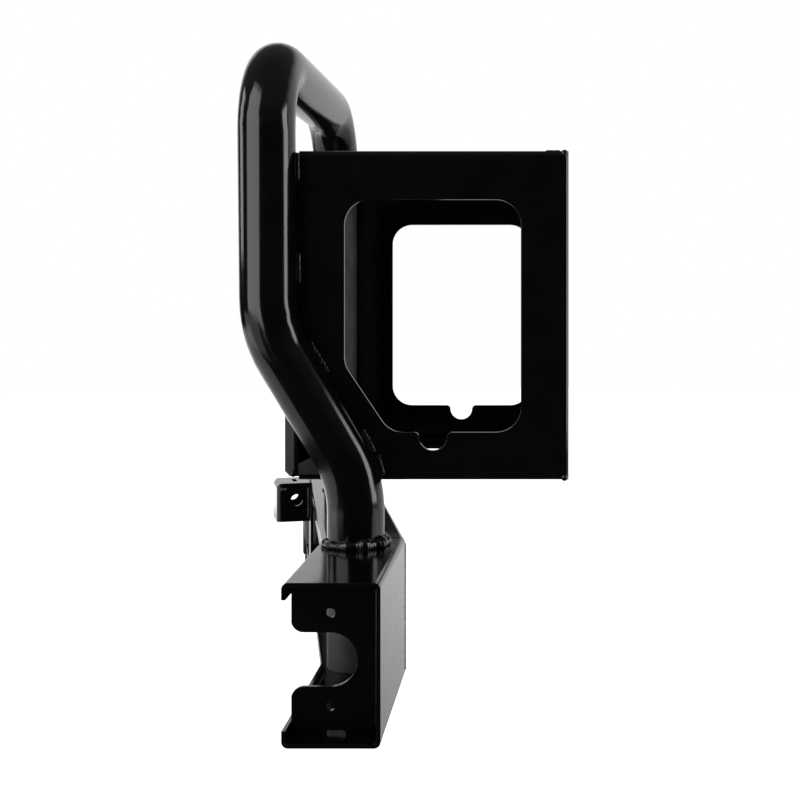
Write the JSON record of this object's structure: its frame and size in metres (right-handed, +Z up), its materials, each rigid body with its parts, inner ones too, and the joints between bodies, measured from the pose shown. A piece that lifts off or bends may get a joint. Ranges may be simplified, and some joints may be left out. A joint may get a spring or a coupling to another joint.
{
  "type": "spare tire carrier",
  "caption": "Swing-away spare tire carrier: folded channel beam on a vertical bearing hub, with a bent tube hoop and a hollow wheel-mount box with side windows.",
  "frame": {"origin": "on the pivot axis, at the face of the spindle's collar that seats on the bumper", "axes": "+Z up along the pivot axis; +Y along the beam, from the latch end to the pivot; +X rearward, away from the vehicle"},
  "size_m": [0.4448, 1.047, 0.7671],
  "materials": {
    "powder_coat": "semi-gloss black powder coat on steel",
    "cap_paint": "satin black paint on pressed steel",
    "black_oxide": "turned steel, blacked and oiled",
    "bearing_steel": "ground bearing steel",
    "zinc_plate": "bright zinc plate",
    "seal_rubber": "nitrile rubber"
  },
  "bodies": {
    "spindle": {"pivot_spindle": "black_oxide", "lower_bearing_cone": "bearing_steel", "upper_bearing_cone": "bearing_steel", "lower_bearing_rollers": "bearing_steel", "upper_bearing_rollers": "bearing_steel", "thrust_washer": "zinc_plate", "castle_nut": "zinc_plate", "split_pin": "zinc_plate"},
    "carrier": {"beam_pivot_section": "powder_coat", "beam_latch_section": "powder_coat", "latch_end_plate": "powder_coat", "hoop_tube": "powder_coat", "near_side_plate": "powder_coat", "far_side_plate": "powder_coat", "near_filler_gusset": "powder_coat", "front_panel": "powder_coat", "wheel_mount_plate": "powder_coat", "strut_bracket": "powder_coat", "bracket_backing_plate": "powder_coat", "hub_tube": "powder_coat", "lower_bearing_cup": "bearing_steel", "upper_bearing_cup": "bearing_steel", "grease_seal": "seal_rubber", "dust_cap": "cap_paint", "grease_nipple": "zinc_plate"}
  },
  "joints": [
    {"name": "carrier_swing", "type": "hinge", "parent": "spindle", "child": "carrier", "pos_m": [0, 0, 0], "axis": [0, 0, 1], "range_deg": [0, 110]}
  ]
}
